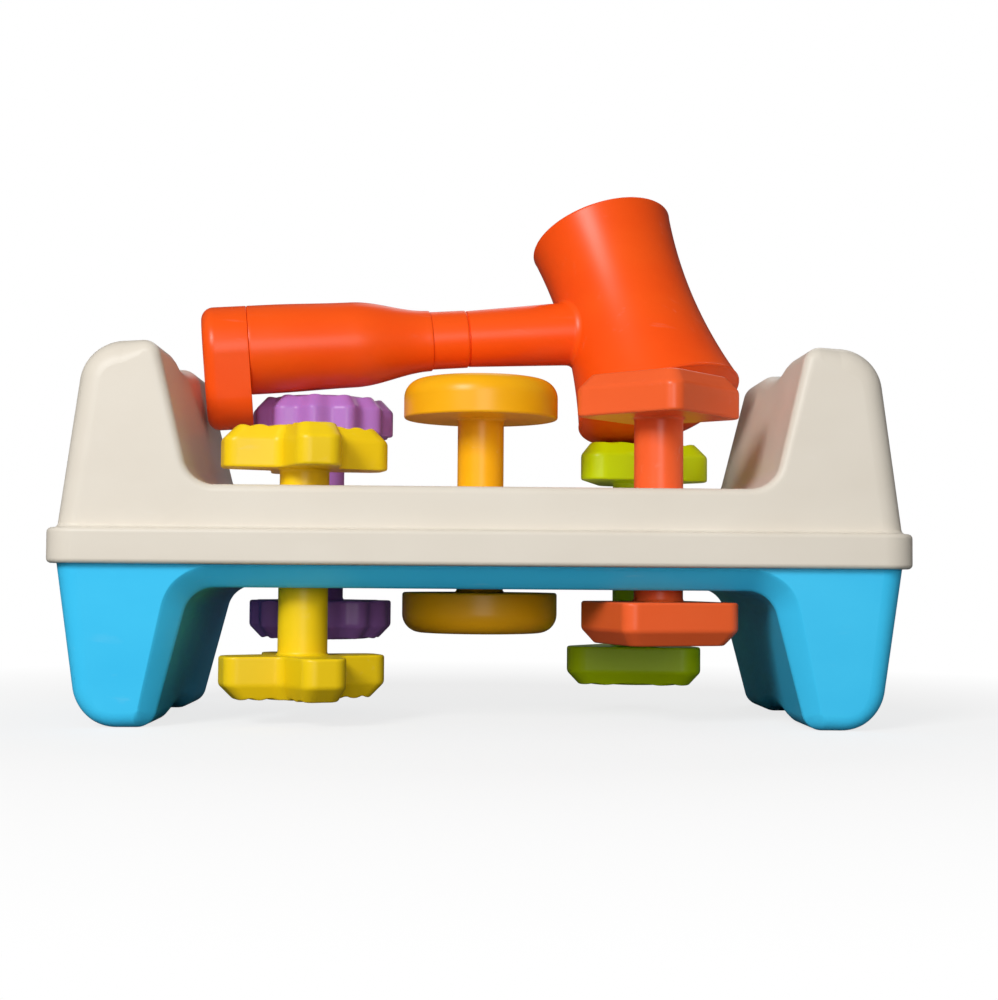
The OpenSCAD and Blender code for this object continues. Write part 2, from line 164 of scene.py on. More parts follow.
def quads_of(index):
    """The four corners of every cell between neighbouring rows and columns of point numbers."""
    corners = [index[:-1, :-1], index[1:, :-1], index[1:, 1:], index[:-1, 1:]]
    return np.stack(corners, axis=-1).reshape(-1, 4).tolist()


def solid(name, points, faces):
    """A mesh object in metres from points in millimetres: doubles merged, faces outwards."""
    mesh = bpy.data.meshes.new(name)
    mesh.from_pydata(points * MM, [], faces)
    work = bmesh.new()
    work.from_mesh(mesh)
    bmesh.ops.remove_doubles(work, verts=work.verts, dist=1e-6)
    bmesh.ops.dissolve_degenerate(work, edges=work.edges, dist=1e-6)
    bmesh.ops.recalc_face_normals(work, faces=work.faces)
    work.to_mesh(mesh)
    work.free()
    piece = bpy.data.objects.new(name, mesh)
    bpy.context.scene.collection.objects.link(piece)
    return piece


def loft(name, *grids, capped=True):
    """One mesh object from grids of points, grid[around, along]: quads join neighbouring rings,
    each ring closes on itself, and a flat face caps the first and the last ring."""
    points, faces, start = [], [], 0
    for grid in grids:
        around, along = grid.shape[:2]
        index = start + np.arange(around * along).reshape(around, along)
        faces += quads_of(np.concatenate([index, index[:1]]))
        if capped:
            faces += [index[:, 0].tolist(), index[:, -1].tolist()]
        points.append(grid.reshape(-1, 3))
        start += around * along
    return solid(name, np.concatenate(points), faces)


def lathe(profile, steps=96, centre=(0, 0)):
    """Grid of a turned shape: the profile's rows of radius and height, carried round the axis."""
    radius, height = np.asarray(profile, float).T
    angle = np.linspace(0, 2 * np.pi, steps, endpoint=False)[:, None]
    return np.stack([
        centre[0] + radius * np.cos(angle), centre[1] + radius * np.sin(angle),
        height + 0 * angle], axis=-1)


def column(radius, low, high, steps, centre=(0, 0)):
    """Grid of a plain round column between two heights."""
    return lathe([[0, low], [radius, low], [radius, high], [0, high]], steps, centre)


def settle(piece):
    """Turns a piece's modifiers into its mesh."""
    seen = piece.evaluated_get(bpy.context.evaluated_depsgraph_get())
    mesh = bpy.data.meshes.new_from_object(seen)
    piece.modifiers.clear()
    piece.data = mesh


def carve(piece, operation, tool):
    """Joins, cuts or intersects a piece with a tool solid, for good, and removes the tool."""
    cut = piece.modifiers.new(operation, "BOOLEAN")
    cut.operation = operation
    cut.solver = "MANIFOLD"
    cut.object = tool
    settle(piece)
    bpy.data.objects.remove(tool)


def smooth(piece, sharp_degrees=34):
    """Smooth shading that keeps a crease where two faces meet at more than the given angle. The
    normals follow the larger faces, so that flat faces stay flat beside their roundings."""
    piece.data.shade_smooth()
    piece.data.set_sharp_from_angle(angle=math.radians(sharp_degrees))
    weighted = piece.modifiers.new("weighted", "WEIGHTED_NORMAL")
    weighted.keep_sharp = True
    settle(piece)


def upright_fill(ring, points):
    """Triangles that fill an upright flat ring of point numbers, found in its x and z by a
    constrained Delaunay triangulation."""
    flat = [Vector(p) for p in points[ring][:, [0, 2]]]
    _, _, faces, origin, _, _ = delaunay_2d_cdt(flat, [], [list(range(len(ring)))], 1, 1e-5)
    return [[ring[origin[corner][0]] for corner in face] for face in faces]


def bench_skin(name, deck, base, knee, inset, edges, bevel, turned_over=False):
    """Solid skin of one half of the bench, open side down at the height base. Along: the front
    outline, from one outer foot over the wall, the deck and the other wall. Across: from the
    front face over a quarter-round edge of radius e, where the outline is inset by e (1 - sin t)
    and the depth by e (1 - cos t), to the back face. Between the walls the edge is mixed with a
    flat bevel by the share bevel. The draft is measured from the height knee, and the walls' tops
    sink in a shallow arc. Flat faces close the front, the back and the base. Turned over, the
    heights run down from the top."""
    lean = wall_lean / (top_height - knee)
    x_base = half_length + lean * (knee - base) - inset
    x_out = half_length - wall_lean
    x_in = x_out - wall_top_width
    right = [
        [x_base, base, 0],
        [x_out - inset, top_height - inset, outer_corner_r - inset],
        [x_in + inset, top_height - inset, inner_corner_r - inset],
        [x_in - inner_lean + inset, deck - inset, deck_fillet_r + inset]]
    left = [[-x, z, r] for x, z, r in right[::-1]]
    path = dense(rounded(right + left, arc_steps, closed=False), skin_step, closed=False)
    run = np.concatenate([[0], np.cumsum(np.linalg.norm(np.diff(path, axis=0), axis=1))])
    ahead = np.gradient(path, run, axis=0)
    normal = np.column_stack([ahead[:, 1], -ahead[:, 0]])
    normal /= np.linalg.norm(normal, axis=1)[:, None]
    if normal[len(path) // 2, 1] < 0:
        normal = -normal
    across = np.abs(path[:, 0])
    edge = np.interp(
        across, [x_in - inner_lean, x_in, x_in + edge_ease, x_out - corner_ease, half_length],
        [*edges, edges[-1], plan_corner_r])
    edge = np.maximum(edge - inset, least_edge)
    flat = np.interp(across, [x_in, x_in + bevel_ease], [bevel, 0])[:, None]

    def depth_at(z):
        drawn_in = np.clip((z - knee) / (top_height - knee), -0.2, 1)
        return half_depth - inset - side_draft * drawn_in

    turn = np.radians(np.linspace(0, 90, edge_steps + 1))
    slope = np.linspace(0, 1, edge_steps + 1)
    guard_slip = edge[:, None] + guard
    sunk = (1 - flat) * (1 - np.cos(turn)) + flat * slope
    round_slip = edge[:, None] * ((1 - flat) * (1 - np.sin(turn)) + flat * (1 - slope))
    slip = np.concatenate(
        [guard_slip, round_slip, np.zeros((len(path), len(face_shares)))], axis=1)
    x = path[:, :1] - normal[:, :1] * slip
    z = path[:, 1:] - normal[:, 1:] * slip
    half = len(path) // 2
    for ring in range(x.shape[1]):
        below = z[:, ring] <= base
        foot = np.interp(base, z[:half, ring], x[:half, ring])
        x[below, ring] = foot * np.sign(x[below, ring])
    z = np.maximum(z, base)
    y = depth_at(z)
    y[:, 1:len(turn) + 1] -= edge[:, None] * sunk
    y[:, len(turn) + 1:] = y[:, len(turn):len(turn) + 1] * face_shares
    x = np.concatenate([x, x[:, -2::-1]], axis=1)
    y = np.concatenate([-y, y[:, -2::-1]], axis=1)
    z = np.concatenate([z, z[:, -2::-1]], axis=1)
    bow = (saddle_half ** 2 + saddle_depth ** 2) / (2 * saddle_depth)
    dip = saddle_depth - bow + np.sqrt(bow ** 2 - np.minimum(np.abs(y), 2 * saddle_half) ** 2)
    dip = saddle_ease * np.logaddexp(0, dip / saddle_ease)
    rise = np.clip((z - top_height + saddle_start) / saddle_blend, 0, 1)
    z = z - dip * rise * rise * (3 - 2 * rise)
    if turned_over:
        z = top_height - z
    index = np.arange(x.size).reshape(x.shape)
    base_line = np.concatenate([index[0], index[-1, ::-1]])
    points = np.stack([x, y, z], axis=-1).reshape(-1, 3)
    faces = quads_of(index) + [base_line.tolist()]
    faces += upright_fill(index[:, 0].tolist(), points)
    faces += upright_fill(index[:, -1].tolist(), points)
    return solid(name, points, faces)


def plan_rings(rows):
    """Grid of level rings round the bench: each row gives a ring's offset outwards and its height.
    A ring is the bench's rounded rectangle, whose points move out along the line from the
    nearest point of the rectangle that joins its corners' centres."""
    r = plan_corner_r
    x, y = half_length, half_depth
    ring = dense(rounded([[x, -y, r], [x, y, r], [-x, y, r], [-x, -y, r]]), plan_step)
    core = np.clip(ring, [r - x, r - y], [x - r, y - r])
    outward = (ring - core) / r
    offset, height = np.asarray(rows, float).T
    xy = ring[:, None, :] + outward[:, None, :] * offset[None, :, None]
    return np.concatenate([xy, (height + 0 * xy[..., 0])[..., None]], axis=-1)


def quarter(start, end, steps=6):
    """Rows of sine and cosine over a range of degrees, for roundings."""
    turn = np.radians(np.linspace(start, end, steps + 1))
    return np.column_stack([np.cos(turn), np.sin(turn)])


peg_names = ["star", "flower", "disc", "square", "triangle"]
peg_places = []
for name in peg_names:
    low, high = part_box(name + "_core_pin")
    peg_places.append(((low.x + high.x) / 2 / MM, (low.y + high.y) / 2 / MM))
peg_x, peg_y = abs(peg_places[0][0]), abs(peg_places[0][1])
screw_x_in, screw_y_in, screw_x_out = 30, 45, 88
screw_places = [(i * screw_x_in, j * screw_y_in) for j in (1, -1) for i in (1, -1)]
screw_places += [(screw_x_out, 0), (-screw_x_out, 0)]
lip_top = lip_bottom + lip_width
lip_rows = np.concatenate([
    [[lip_proud - lip_round + lip_root, lip_bottom]],
    [lip_proud - lip_round, lip_bottom + lip_round] + lip_round * quarter(-90, 0),
    [lip_proud - lip_round, lip_top - lip_round] + lip_round * quarter(0, 90),
    [lip_blend - lip_blend_sink, lip_top + lip_blend]
    - lip_blend * quarter(90, lip_blend_start),
    [[lip_root, lip_top + lip_blend]]])
upper = bench_skin(
    "upper_shell_skin", deck_height, lip_bottom + overrun, lip_top, 0, edge_radii, 0)
carve(upper, "UNION", loft("lip", plan_rings(lip_rows)))
carve(upper, "DIFFERENCE", bench_skin(
    "cavity", deck_height, lip_bottom - overrun, lip_top, shell_wall, edge_radii, 0))
carve(upper, "DIFFERENCE", loft("rebate", plan_rings([
    [seam_gap, lip_bottom - 2 * overrun], [seam_gap, seam_height + seam_gap]])))
in_deck = deck_height - shell_wall / 2
sleeves = [column(sleeve_r, ring_middle + ring_half + seam_gap, in_deck, sleeve_steps, p)
           for p in peg_places]
sleeves += [column(boss_r, ring_middle + seam_gap, in_deck, boss_steps, p)
            for p in screw_places]
carve(upper, "UNION", loft("sleeves", *sleeves))
carve(upper, "DIFFERENCE", loft("bores", *[
    lathe([[0, ring_middle], [bore_r, ring_middle], [bore_r, deck_height - bore_ease],
           [bore_r + bore_ease, deck_height + 0.01], [bore_r + bore_ease, deck_height + overrun],
           [0, deck_height + overrun]], bore_steps, p) for p in peg_places]))
smooth(upper)


class Wire:
    """A value on its way through a material. Python's operators add Math nodes to it."""

    def __init__(self, paint, socket):
        self.paint, self.socket = paint, socket

    def combine(self, operation, first, second):
        return self.paint.node("ShaderNodeMath", {"operation": operation}, first, second)

    def __add__(self, other):
        return self.combine("ADD", self, other)

    def __sub__(self, other):
        return self.combine("SUBTRACT", self, other)

    def __rsub__(self, other):
        return self.combine("SUBTRACT", other, self)

    def __mul__(self, other):
        return self.combine("MULTIPLY", self, other)

    __radd__, __rmul__ = __add__, __mul__


class Paint:
    """The nodes of a material or of the world. node() adds one from its type, its settings and
    the values or links of its sockets."""

    def __init__(self, owner, shader="Principled BSDF"):
        owner.use_nodes = True
        self.owner = owner
        self.tree = owner.node_tree
        self.shader = self.tree.nodes[shader]

    def set(self, socket, value):
        if isinstance(value, Wire):
            self.tree.links.new(value.socket, socket)
        else:
            socket.default_value = value

    def node(self, kind, settings, *values, out=0, **named):
        made = self.tree.nodes.new(kind)
        for key, value in settings.items():
            setattr(made, key, value)
        for socket, value in zip(made.inputs, values):
            self.set(socket, value)
        for key, value in named.items():
            self.set(made.inputs[key], value)
        return Wire(self, made.outputs[out])

    def object_place(self):
        """The place on the piece, in Object coordinates."""
        return self.node("ShaderNodeTexCoord", {}, out="Object")

    def noise(self, place, size, detail=2.0, stretch=(1, 1, 1)):
        """Cloudy noise whose blots are about size metres across, stretched along the axes."""
        scale = [1 / (size * s) for s in stretch]
        placed = self.node("ShaderNodeMapping", {}, Vector=place, Scale=scale)
        return self.node("ShaderNodeTexNoise", {}, Vector=placed, Scale=1.0, Detail=detail)

    def range(self, value, low, high, to_low=0.0, to_high=1.0):
        """Moves a value from one range to another, held at both ends."""
        return self.node("ShaderNodeMapRange", {"clamp": True}, value, low, high, to_low, to_high)

    def blend(self, share, first, second):
        """Mixes two colours: none of the second at a share of 0, all of it at 1."""
        mixed = self.node("ShaderNodeMix", {"data_type": "RGBA"}, out=2)
        for number, value in zip((0, 6, 7), (share, first, second)):
            self.set(mixed.socket.node.inputs[number], value)
        return mixed

    def shade(self, **looks):
        """Sets or links the shader's own sockets, named with _ for a space."""
        for key, value in looks.items():
            self.set(self.shader.inputs[key.replace("_", " ")], value)


def linear(code):
    """The linear colour of a web colour: each channel c becomes ((c + 0.055) / 1.055) ** 2.4."""
    channels = np.array([int(code[k:k + 2], 16) for k in (1, 3, 5)]) / 255
    curved = np.where(channels > 0.04045, ((channels + 0.055) / 1.055) ** 2.4, channels / 12.92)
    return (*curved, 1.0)


rub_colour = (0.9, 0.88, 0.85, 1.0)
plastic_ior = 1.49


def moulded(name, colour, deep, roughness=0.36, grain=0.25, shine=0.32):
    """Injection-moulded plastic: flow clouds between two shades, a spark-eroded grain in the
    surface, and faint rub marks that are rougher and paler."""
    paint = Paint(bpy.data.materials.new(name))
    place = paint.object_place()
    cloud = paint.noise(place, 0.045, 3.0)
    flow = paint.noise(place, 0.016, 2.0, (3, 1, 1))
    rub = paint.noise(place, 0.0022, 4.0, (9, 1, 2))
    patch = paint.noise(place, 0.03, 2.0)
    marks = paint.range(rub, 0.62, 0.72) * paint.range(patch, 0.5, 0.68)
    tone = paint.range(cloud * 0.6 + flow * 0.4, 0.3, 0.7)
    body = paint.blend(tone, linear(deep), linear(colour))
    fine = paint.noise(place, 0.00055, 2.0)
    wave = paint.noise(place, 0.02, 1.0)
    height = fine * (0.02 * grain) + wave * 0.25 - marks * 0.01
    paint.shade(
        Base_Color=paint.blend(marks * 0.10, body, rub_colour),
        Roughness=roughness + (cloud - 0.5) * 0.10 + marks * 0.16,
        Normal=paint.node("ShaderNodeBump", {}, Strength=0.35, Distance=0.001, Height=height),
        IOR=plastic_ior, Specular_IOR_Level=shine)
    return paint.owner


def dress(piece, material, body, slot, *replaced):
    """Gives a piece its material, seats it on its body and hides the node that it stands for."""
    piece.data.materials.clear()
    piece.data.materials.append(material)
    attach(piece, body)
    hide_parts(*replaced)


cream = moulded("cream_plastic", "#e5ddcf", "#dfd6c7", 0.42, 0.5)
dress(upper, cream, "bench", "cream", "upper_shell")


# Lower shell: the sky-blue lower half, moulded like the upper one and turned over, so that its
# walls are the bench's legs and its deck is the arch's underside. Its rim slips up inside the
# lip. Cups round the pegs hold the friction rings, and six wells take the screws.

arch_edge_radii = (7.3, 5.4, 5)
arch_bevel = 0.9
cup_r = 15.1
cup_top = ring_middle + ring_half + 3
ring_bore_r = 12.7
well_r = 3.7
well_top = 56.1
shank_r = 1.95
screw_post_r = 6.7

knee = top_height - lip_bottom
rim = top_height - seam_height
underside = top_height - arch_height
lower = bench_skin(
    "lower_shell_skin", underside, rim, knee, 0, arch_edge_radii, arch_bevel, turned_over=True)
carve(lower, "DIFFERENCE", bench_skin(
    "cavity", underside, rim - overrun, knee, shell_wall, arch_edge_radii, arch_bevel,
    turned_over=True))
in_arch = arch_height + shell_wall / 2
posts = [column(cup_r, in_arch, cup_top, sleeve_steps, p) for p in peg_places]
posts += [column(screw_post_r, in_arch, ring_middle, boss_steps, p) for p in screw_places]
carve(lower, "UNION", loft("posts", *posts))
holes = [lathe([[0, arch_height - overrun], [bore_r + bore_ease, arch_height - overrun],
                [bore_r + bore_ease, arch_height], [bore_r, arch_height + bore_ease],
                [bore_r, ring_middle - ring_half], [ring_bore_r, ring_middle - ring_half],
                [ring_bore_r, cup_top + overrun], [0, cup_top + overrun]], bore_steps, p)
         for p in peg_places]
holes += [lathe([[0, arch_height - overrun], [well_r, arch_height - overrun],
                 [well_r, well_top], [shank_r, well_top], [shank_r, ring_middle + overrun],
                 [0, ring_middle + overrun]], boss_steps, p) for p in screw_places]
carve(lower, "DIFFERENCE", loft("holes", *holes))
smooth(lower, sharp_degrees=50)
sky_blue = moulded("sky_blue_plastic", "#44d0ff", "#3cc8fa", 0.34, 0.3, 0.2)
dress(lower, sky_blue, "bench", "sky_blue", "lower_shell")


# Inside the bench: six zinc-plated screws, five black rubber rings that grip the shafts, and the
# pale pins that snap into both halves of each peg. They are the frame's own solids.


def hardware(name, colour, deep, roughness, metallic=0.0):
    """Plain hardware: two close shades in clouds, with roughness that follows them."""
    paint = Paint(bpy.data.materials.new(name))
    cloud = paint.noise(paint.object_place(), 0.0012, 4.0, (1, 1, 3))
    paint.shade(
        Base_Color=paint.blend(cloud, linear(deep), linear(colour)),
        Roughness=roughness + (cloud - 0.5) * 0.2, Metallic=metallic,
        Normal=paint.node("ShaderNodeBump", {}, Strength=0.2, Distance=0.0002, Height=cloud))
    return paint.owner


zinc = hardware("zinc_plate", "#c9ccd0", "#9a9ea4", 0.3, 1.0)
rubber = hardware("ring_rubber", "#3a3a3c", "#2c2c2e", 0.7)
natural = hardware("natural_nylon", "#f2efe8", "#e4dfd2", 0.5)
finishes = [("shell_screws", zinc)]
finishes += [(name + "_grip_ring", rubber) for name in peg_names]
finishes += [(name + "_core_pin", natural) for name in peg_names]
for name, material in finishes:
    nodes[name].data.materials.clear()
    nodes[name].data.materials.append(material)


# Pegs: five double-headed pegs, each moulded as two alike halves that snap together on a pin
# inside the deck. The heads are a four-armed star, a flower, a disc, a square and a triangle,
# with a chamfered outer rim, and rings of low ridges on the star, the flower and the triangle.

head_reach = 30
head_thickness = 15.5
head_chamfer = 5.3
shaft_r = 9
root_r = 1.3
pin_bore_r = 3.56
pin_room_r = 5.1
pin_reach = 18
pin_room = 5
ridge_depth = 1.0
ridge_pitch = 5.77
ridge_first = 7.4
ridge_power = 0.8
ridge_ease = 0.5
rim_round = 1.0
rim_inner_band = 6
rim_top_band = 12
disc_top_band = 14
chamfer_foot_r = 2.6
chamfer_top_r = 1.8
top_step = 0.6
rim_step = 1.2
outline_step = 1.6
star_arm = 0.25 * head_reach
star_valley = 0.35 * head_reach
star_tip_r = 5
star_valley_r = 4
flower_reach = head_reach * 0.967
flower_lobe = 2.9
disc_round = 7.2
square_tip_r = 5
triangle_tip_r = 8
parting_gap = 0.1
parting_round = 0.4
spread_shares = np.array([0.04, 0.3, 0.6, 0.9])


def spun(points, degrees):
    """Rows of x and y turned anticlockwise about the middle."""
    a = math.radians(degrees)
    return points @ np.array([[math.cos(a), math.sin(a)], [-math.sin(a), math.cos(a)]])


def star_line():
    """Four arms, each with two rounded corners at its end, and a rounded valley between arms."""
    arm = np.array([[head_reach, -star_arm, star_tip_r], [head_reach, star_arm, star_tip_r],
                    [star_valley, star_valley, star_valley_r]])
    corners = [np.column_stack([spun(arm[:, :2], turn), arm[:, 2]]) for turn in (0, 90, 180, 270)]
    return dense(rounded(np.concatenate(corners), steps=8), outline_step)


def polygon_line(sides, tip_r):
    """A regular polygon with rounded tips that reach just as far as the other heads."""
    reach = head_reach + tip_r * (1 / math.sin(math.pi / 2 - math.pi / sides) - 1)
    angle = 2 * np.pi * np.arange(sides) / sides
    tips = np.column_stack([reach * np.cos(angle), reach * np.sin(angle), np.full(sides, tip_r)])
    return dense(rounded(tips, steps=12), outline_step)


def lobed_line(reach, lobe, lobes=12, points=240):
    """A circle whose radius swings in and out: r = reach - lobe (1 - cos(lobes t)) / 2."""
    angle = np.linspace(0, 2 * np.pi, points, endpoint=False)
    radius = reach - lobe * (1 - np.cos(lobes * angle)) / 2
    return np.column_stack([radius * np.cos(angle), radius * np.sin(angle)])


def chamfered_rim():
    """Rim profile as rows of reach and height above the head's inner face, ending on the top."""
    corners = [[head_reach - rim_inner_band, 0, 0], [head_reach, 0, rim_round],
               [head_reach, head_thickness - head_chamfer, chamfer_foot_r],
               [head_reach - head_chamfer, head_thickness, chamfer_top_r],
               [head_reach - rim_top_band, head_thickness, 0]]
    return dense(rounded(corners, steps=6, closed=False), rim_step, closed=False)[1:]


def round_rim(radius):
    """Rim profile of the disc: a short upright band under a large quarter-round."""
    corners = [[head_reach - rim_inner_band, 0, 0], [head_reach, 0, rim_round],
               [head_reach, head_thickness, radius],
               [head_reach - disc_top_band, head_thickness, 0]]
    return dense(rounded(corners, steps=12, closed=False), rim_step, closed=False)[1:]


def peg_half(line, rim, half, ridged):
    """Grid of half a peg above its parting plane. Each ring mixes a circle with the head's
    outline: ring = (1 - w) c unit(line) + w s line. Rings go down the pin's bore, up the shaft,
    out along the head's inner face, over its rim and in to the middle of its top. On the top,
    ridges follow the distance d from the axis: z drops by
    depth (1 - |cos(pi (d - first) / pitch)| ** power)."""
    unit = line / np.linalg.norm(line, axis=1)[:, None]
    bore = [[0, pin_reach + pin_room], [pin_room_r, pin_reach + pin_room], [pin_room_r, pin_reach],
            [pin_bore_r, pin_reach], [pin_bore_r, parting_gap],
            [shaft_r - parting_round, parting_gap], [shaft_r, parting_gap + parting_round],
            [shaft_r, 2 * parting_round], [shaft_r, half / 2], [shaft_r, half - root_r - 0.2]]
    root = [shaft_r + root_r, half - root_r] + root_r * quarter(180, 90)
    circles = np.concatenate([bore, root])
    level = 0 * spread_shares
    spread = np.column_stack([level + shaft_r + root_r, level + half,
                              spread_shares, level + rim[0, 0] / head_reach])
    top_reach = rim[-1, 0]
    fall = np.linspace(1, 0, int(top_reach / top_step))[1:]
    rim_rows = np.column_stack([0 * rim[:, 0], half + rim[:, 1],
                                0 * rim[:, 0] + 1, rim[:, 0] / head_reach])
    top_rows = np.column_stack([0 * fall, 0 * fall + half + head_thickness, 0 * fall + 1,
                                fall * top_reach / head_reach])
    circle_rows = np.column_stack([circles, 0 * circles])
    rows = np.concatenate([circle_rows, spread, rim_rows, top_rows])
    c, h, w, s = rows.T[:, None, :]
    circle, head = ((1 - w) * c)[..., None], (w * s)[..., None]
    xy = circle * unit[:, None, :] + head * line[:, None, :]
    z = h + 0 * xy[..., 0]
    if ridged:
        distance = np.linalg.norm(xy, axis=-1)
        phase = np.pi * (distance - ridge_first) / ridge_pitch
        wave = 1 - np.abs(np.cos(phase)) ** ridge_power
        inside = np.clip((distance - ridge_first + ridge_pitch / 2) / ridge_ease, 0, 1)
        on_top = np.clip((z - half - head_thickness + 0.9) / 0.8, 0, 1)
        z = z - ridge_depth * wave * inside * on_top
    return np.concatenate([xy, z[..., None]], axis=-1)


peg_lines = {"star": star_line(), "flower": lobed_line(flower_reach, flower_lobe),
             "disc": lobed_line(head_reach, 0, 1, 144), "square": polygon_line(4, square_tip_r),
             "triangle": polygon_line(3, triangle_tip_r)}
peg_turns = {"star": (-74, -68), "flower": (-63.4, -50), "disc": (0, 0), "square": (-86, -117),
             "triangle": (-15, 82)}
peg_paints = {
    "star": moulded("yellow_plastic", "#fad414", "#f6cc0c", 0.36, 0.2),
    "flower": moulded("purple_plastic", "#bc80d2", "#b478ca", 0.33, 0.2),
    "disc": moulded("amber_plastic", "#fdb914", "#fbb00c", 0.33, 0.2),
    "square": moulded("coral_plastic", "#fc6a34", "#f8622c", 0.33, 0.2),
    "triangle": moulded("lime_plastic", "#d4f000", "#cce800", 0.35, 0.2)}
peg_slots = {"star": "yellow", "flower": "purple", "disc": "amber", "square": "coral",
             "triangle": "lime"}
ridged_pegs = ("star", "flower", "triangle")
for name, place in zip(peg_names, peg_places):
    rim = round_rim(disc_round) if name == "disc" else chamfered_rim()
    for side, up, body, turn in zip(
            ("top", "bottom"), (1, -1), (name + "_knob", name + "_peg"), peg_turns[name]):
        node = f"{name}_{side}_half"
        low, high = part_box(node)
        half = (high.z - low.z) / MM + parting_gap - head_thickness
        parting = (low.z if side == "top" else high.z) / MM - up * parting_gap
        grid = peg_half(spun(peg_lines[name], turn), rim, half, name in ridged_pegs)
        piece = loft(node + "_moulding", grid * [1, 1, up] + [place[0], place[1], parting])
        smooth(piece, sharp_degrees=40)
        dress(piece, peg_paints[name], body, peg_slots[name], node)


# Hammer: a hollow waisted head closed by two domed faces, a neck that plugs into it, a soft round
# grip on the neck's core and a butt cap. All are orange mouldings pressed together. It lies across
# the pegs: its striking dome on the triangle's head, its grip on the flower's.

hammer_turn = 7
hammer_roll = 21
hammer_rake = 8.5
strike_rim_r = 34.3
waist_r = 27.8
crown_rim_r = 30.2
strike_reach = 36.5
crown_reach = 46.3
strike_dome = 8.8
crown_dome = 5
waist_share = 0.38
barrel_wall = 2.8
barrel_rim_r = 1.1
neck_root_r = 14
neck_r = 11.4
neck_end = 70.5
neck_fillet = 2.6
neck_sink = 0.35
groove_width = 0.9
groove_depth = 0.7
collar_r = 11.7
collar_end = 85
grip_collar_r = 12.3
grip_r = 17.2
grip_seat_r = 17.8
belly_length = 32
cap_length = 18
cap_round = 5
heel_r = 14.5
heel_drop = 17
seat_gap = 0.3
hammer_shift = 1
hammer_x = peg_x - hammer_shift
hammer_y = peg_y - hammer_shift
crown_plug_r = 27
strike_plug_r = 30.5
core_r = 8
core_gap = 0.06
core_short = 12
head_steps = 160
handle_steps = 128
triangle_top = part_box("triangle_top_half")[1].z / MM
flower_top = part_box("flower_top_half")[1].z / MM
flower_flat = flower_reach - flower_lobe - head_chamfer
grip_seat = (hammer_x + peg_x + flower_flat) / math.cos(math.radians(hammer_turn))
grip_end = grip_seat + head_chamfer + flower_lobe
dome_r = (strike_rim_r ** 2 + strike_dome ** 2) / (2 * strike_dome)
dome_back = dome_r - strike_reach - strike_dome


def rotation(axis, degrees):
    """Turning matrix about one axis, anticlockwise seen from its tip."""
    return np.array(Matrix.Rotation(math.radians(degrees), 3, axis))


# The striking dome rests on the triangle's head, and the handle tips up by an angle a until the
# grip rests on the flower's: p cos a + q sin a = w.
rake_cos, rake_sin = math.cos(math.radians(hammer_rake)), math.sin(math.radians(hammer_rake))
roll_cos = math.cos(math.radians(hammer_roll))
lift_p = dome_back * rake_cos * roll_cos + grip_seat_r
lift_q = grip_seat - dome_back * rake_sin
lift_w = triangle_top + dome_r - flower_top
hammer_lift = math.degrees(
    math.atan2(lift_q, lift_p) - math.acos(lift_w / math.hypot(lift_p, lift_q)))
lift_cos, lift_sin = math.cos(math.radians(hammer_lift)), math.sin(math.radians(hammer_lift))
hammer_z = triangle_top + seat_gap + dome_r - dome_back * (
    rake_cos * roll_cos * lift_cos - rake_sin * lift_sin)
hammer_turning = (
    rotation("Z", hammer_turn) @ rotation("Y", -hammer_lift) @ rotation("X", -hammer_roll))
head_turning = hammer_turning @ rotation("Y", -hammer_rake)
hammer_place = np.array([hammer_x, hammer_y, hammer_z])


def barrel_radius(h):
    """Radius of the head at height h: a parabola from the waist out to either rim."""
    waist = -strike_reach + (strike_reach + crown_reach) * (1 - waist_share)
    low = waist_r + (strike_rim_r - waist_r) * ((waist - h) / (waist + strike_reach)) ** 2
    high = waist_r + (crown_rim_r - waist_r) * ((h - waist) / (crown_reach - waist)) ** 2
    return np.where(h < waist, low, high)


def laid(grid, turning):
    """A grid in the hammer's own frame, moved to where the hammer lies."""
    return grid @ turning.T + hammer_place


def along_handle(profile):
    """Grid of a shape turned round the handle, which runs from the head towards -X."""
    grid = lathe(profile, handle_steps)
    return np.stack([-grid[..., 2], grid[..., 1], grid[..., 0]], axis=-1)


orange = moulded("orange_plastic", "#ff5c12", "#fc520c", 0.34, 0.25)


def hammer_piece(node, grid, turning, capped=True):
    """One moulding of the hammer: closed, smoothed, orange, riding on the hammer."""
    piece = loft(node + "_moulding", laid(grid, turning), capped=capped)
    smooth(piece, sharp_degrees=40)
    dress(piece, orange, "hammer", "orange", node)


h = np.linspace(-strike_reach + barrel_rim_r, crown_reach - barrel_rim_r, 60)
outer_line = np.column_stack([barrel_radius(h), h])
crown_edge = (
    [crown_rim_r - barrel_rim_r, crown_reach - barrel_rim_r] + barrel_rim_r * quarter(0, 90))
strike_edge = (
    [strike_rim_r - barrel_rim_r, -strike_reach + barrel_rim_r] + barrel_rim_r * quarter(-90, 0))
inner_line = np.column_stack([barrel_radius(h) - barrel_wall, h])[::-1]
barrel_line = np.concatenate([strike_edge[:-1], outer_line, crown_edge[1:],
                              [[crown_rim_r - barrel_wall, crown_reach]], inner_line,
                              [[strike_rim_r - barrel_wall, -strike_reach]], strike_edge[:1]])
hammer_piece("hammer_barrel", lathe(barrel_line, head_steps), head_turning, capped=False)


